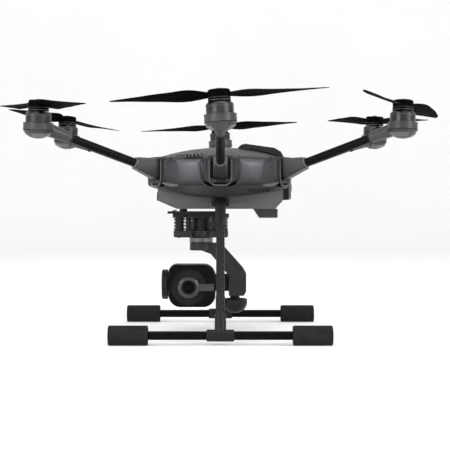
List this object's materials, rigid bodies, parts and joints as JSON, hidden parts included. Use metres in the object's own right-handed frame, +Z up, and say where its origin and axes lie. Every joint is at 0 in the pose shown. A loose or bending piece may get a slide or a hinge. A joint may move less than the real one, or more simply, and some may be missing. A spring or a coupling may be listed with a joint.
{
  "type": "hexacopter camera drone",
  "caption": "Multi-rotor camera drone with folding arms, retractable landing legs and a three-axis gimbal camera under its belly.",
  "frame": {"origin": "on the ground, under the centre axis of the airframe, midway between the two skids", "axes": "+Z up, nose along -Y, the drone's left side along +X"},
  "size_m": [0.514, 0.5386, 0.2804],
  "materials": {
    "shell": "satin graphite paint",
    "dark_plastic": "fine-grained black",
    "arm_plastic": "satin grey",
    "camera_plastic": "satin dark grey",
    "carbon": "glossy carbon weave",
    "blade_plastic": "semi-gloss black",
    "motor_metal": "dark anodised",
    "silver": "turned",
    "steel": "plain",
    "circuit_board": "solder mask",
    "lamp_housing": "smoked",
    "damper_rubber": "soft",
    "foam": "closed-cell foam",
    "button_plastic": "satin",
    "glass": "coated lens"
  },
  "bodies": {
    "airframe": {"upper_shell": "shell", "lower_shell": "shell", "main_board": "circuit_board", "rear_hump": "shell", "status_light": "lamp_housing", "sonar_sensors": "dark_plastic", "hinge_pins": "steel", "leg_mounts": "dark_plastic", "gimbal_mount_plate": "dark_plastic", "gimbal_dampers": "damper_rubber", "gimbal_base": "dark_plastic", "pan_motor_ring": "silver"},
    "arm_left": {"arm_root_left": "arm_plastic", "arm_tube_left": "carbon", "motor_pod_left": "arm_plastic"},
    "rotor_left": {"motor_bell_left": "motor_metal", "propeller_left": "blade_plastic"},
    "arm_rear_left": {"arm_root_rear_left": "arm_plastic", "arm_tube_rear_left": "carbon", "motor_pod_rear_left": "arm_plastic"},
    "rotor_rear_left": {"motor_bell_rear_left": "motor_metal", "propeller_rear_left": "blade_plastic"},
    "arm_rear_right": {"arm_root_rear_right": "arm_plastic", "arm_tube_rear_right": "carbon", "motor_pod_rear_right": "arm_plastic"},
    "rotor_rear_right": {"motor_bell_rear_right": "motor_metal", "propeller_rear_right": "blade_plastic"},
    "arm_right": {"arm_root_right": "arm_plastic", "arm_tube_right": "carbon", "motor_pod_right": "arm_plastic"},
    "rotor_right": {"motor_bell_right": "motor_metal", "propeller_right": "blade_plastic"},
    "arm_front_right": {"arm_root_front_right": "arm_plastic", "arm_tube_front_right": "carbon", "motor_pod_front_right": "arm_plastic"},
    "rotor_front_right": {"motor_bell_front_right": "motor_metal", "propeller_front_right": "blade_plastic"},
    "arm_front_left": {"arm_root_front_left": "arm_plastic", "arm_tube_front_left": "carbon", "motor_pod_front_left": "arm_plastic"},
    "rotor_front_left": {"motor_bell_front_left": "motor_metal", "propeller_front_left": "blade_plastic"},
    "leg_left": {"leg_socket_left": "dark_plastic", "leg_tubes_left": "carbon", "skid_tee_left": "dark_plastic", "foam_feet_left": "foam"},
    "leg_right": {"leg_socket_right": "dark_plastic", "leg_tubes_right": "carbon", "skid_tee_right": "dark_plastic", "foam_feet_right": "foam"},
    "pan_frame": {"pan_arm": "dark_plastic", "downlink_antenna": "dark_plastic"},
    "roll_frame": {"roll_bracket": "dark_plastic", "tilt_motor": "motor_metal"},
    "camera": {"camera_body": "camera_plastic", "lens_barrel": "dark_plastic", "lens_glass": "glass"},
    "battery_pack": {"battery": "shell"},
    "battery_button": {"battery_release": "button_plastic"},
    "power_switch": {"power_button": "button_plastic"}
  },
  "joints": [
    {"name": "fold_left", "type": "hinge", "parent": "airframe", "child": "arm_left", "pos_m": [0.088, 0, 0.187], "axis": [0, -1, 0], "range_deg": [-84, 0]},
    {"name": "spin_left", "type": "hinge", "parent": "arm_left", "child": "rotor_left", "pos_m": [0.24, 0, 0.249], "axis": [0, -0.061, 0.9981], "continuous": true},
    {"name": "fold_rear_left", "type": "hinge", "parent": "airframe", "child": "arm_rear_left", "pos_m": [0.044, 0.07621, 0.187], "axis": [0.866, -0.5, 0], "range_deg": [-84, 0]},
    {"name": "spin_rear_left", "type": "hinge", "parent": "arm_rear_left", "child": "rotor_rear_left", "pos_m": [0.12, 0.20785, 0.249], "axis": [-0.0529, 0.0305, 0.9981], "continuous": true},
    {"name": "fold_rear_right", "type": "hinge", "parent": "airframe", "child": "arm_rear_right", "pos_m": [-0.044, 0.07621, 0.187], "axis": [0.866, 0.5, 0], "range_deg": [-84, 0]},
    {"name": "spin_rear_right", "type": "hinge", "parent": "arm_rear_right", "child": "rotor_rear_right", "pos_m": [-0.12, 0.20785, 0.249], "axis": [0.0529, 0.0305, 0.9981], "continuous": true},
    {"name": "fold_right", "type": "hinge", "parent": "airframe", "child": "arm_right", "pos_m": [-0.088, 0, 0.187], "axis": [0, 1, 0], "range_deg": [-84, 0]},
    {"name": "spin_right", "type": "hinge", "parent": "arm_right", "child": "rotor_right", "pos_m": [-0.24, 0, 0.249], "axis": [0, -0.061, 0.9981], "continuous": true},
    {"name": "fold_front_right", "type": "hinge", "parent": "airframe", "child": "arm_front_right", "pos_m": [-0.044, -0.07621, 0.187], "axis": [-0.866, 0.5, 0], "range_deg": [-84, 0]},
    {"name": "spin_front_right", "type": "hinge", "parent": "arm_front_right", "child": "rotor_front_right", "pos_m": [-0.12, -0.20785, 0.249], "axis": [-0.0529, 0.0305, 0.9981], "continuous": true},
    {"name": "fold_front_left", "type": "hinge", "parent": "airframe", "child": "arm_front_left", "pos_m": [0.044, -0.07621, 0.187], "axis": [-0.866, -0.5, 0], "range_deg": [-84, 0]},
    {"name": "spin_front_left", "type": "hinge", "parent": "arm_front_left", "child": "rotor_front_left", "pos_m": [0.12, -0.20785, 0.249], "axis": [0.0529, 0.0305, 0.9981], "continuous": true},
    {"name": "retract_left", "type": "hinge", "parent": "airframe", "child": "leg_left", "pos_m": [0.0652, 0, 0.166], "axis": [0, -1, 0], "range_deg": [0, 50]},
    {"name": "retract_right", "type": "hinge", "parent": "airframe", "child": "leg_right", "pos_m": [-0.0652, 0, 0.166], "axis": [0, 1, 0], "range_deg": [0, 50]},
    {"name": "gimbal_pan", "type": "hinge", "parent": "airframe", "child": "pan_frame", "pos_m": [0, -0.024, 0.107], "axis": [0, 0, 1], "continuous": true},
    {"name": "gimbal_roll", "type": "hinge", "parent": "pan_frame", "child": "roll_frame", "pos_m": [-0.041, -0.035, 0.06], "axis": [1, 0, 0], "range_deg": [-25, 25]},
    {"name": "gimbal_tilt", "type": "hinge", "parent": "roll_frame", "child": "camera", "pos_m": [0, -0.066, 0.06], "axis": [0, -1, 0], "range_deg": [-90, 30]},
    {"name": "battery_slide", "type": "slide", "parent": "airframe", "child": "battery_pack", "axis": [0, 1, 0], "range_m": [0, 0.125]},
    {"name": "battery_release_press", "type": "slide", "parent": "battery_pack", "child": "battery_button", "axis": [0, -1, 0], "range_m": [0, 0.002], "stiffness_N_per_m": 600, "springref_m": -0.001},
    {"name": "power_button_press", "type": "slide", "parent": "airframe", "child": "power_switch", "axis": [0, 0, -1], "range_m": [0, 0.0005], "stiffness_N_per_m": 600, "springref_m": -0.001}
  ]
}
